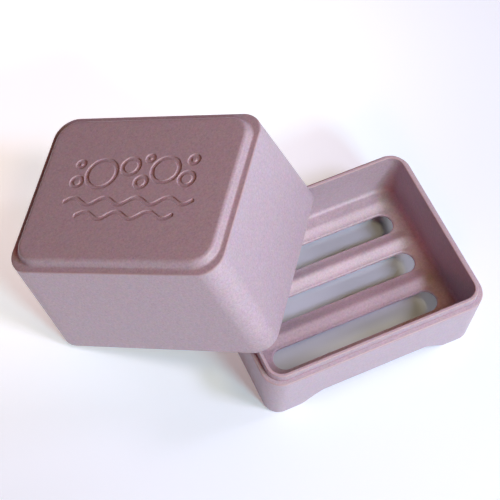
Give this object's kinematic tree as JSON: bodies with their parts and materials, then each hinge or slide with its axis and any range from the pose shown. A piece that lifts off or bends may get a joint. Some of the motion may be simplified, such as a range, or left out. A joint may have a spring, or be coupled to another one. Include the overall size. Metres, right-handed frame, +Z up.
{
  "type": "soap case",
  "caption": "Rectangular soap case: a slotted drain tray on an arched base, and a deep cover with a raised panel, lifted off and leaning on the tray's lip.",
  "frame": {"origin": "centre of the footprint's bounding box on the table, under the tray and the leaning cover", "axes": "+Z up; +X along the tray's long side, from the corner that carries the cover to the tray's free end; -Y is the tray's long side that faces the viewer"},
  "size_m": [0.1834, 0.1448, 0.0938],
  "materials": {
    "tray_plastic": "lilac plastic with fine plant fibre, moulded, satin, faintly speckled",
    "cover_plastic": "lilac plastic with fine plant fibre, moulded, satin, faintly speckled"
  },
  "bodies": {
    "tray": {"tray": "tray_plastic"},
    "cover": {"cover": "cover_plastic"}
  },
  "joints": [
    {"name": "cover_lift", "type": "slide", "parent": "tray", "child": "cover", "axis": [0, 0, 1], "range_m": [0, 0.08]}
  ]
}
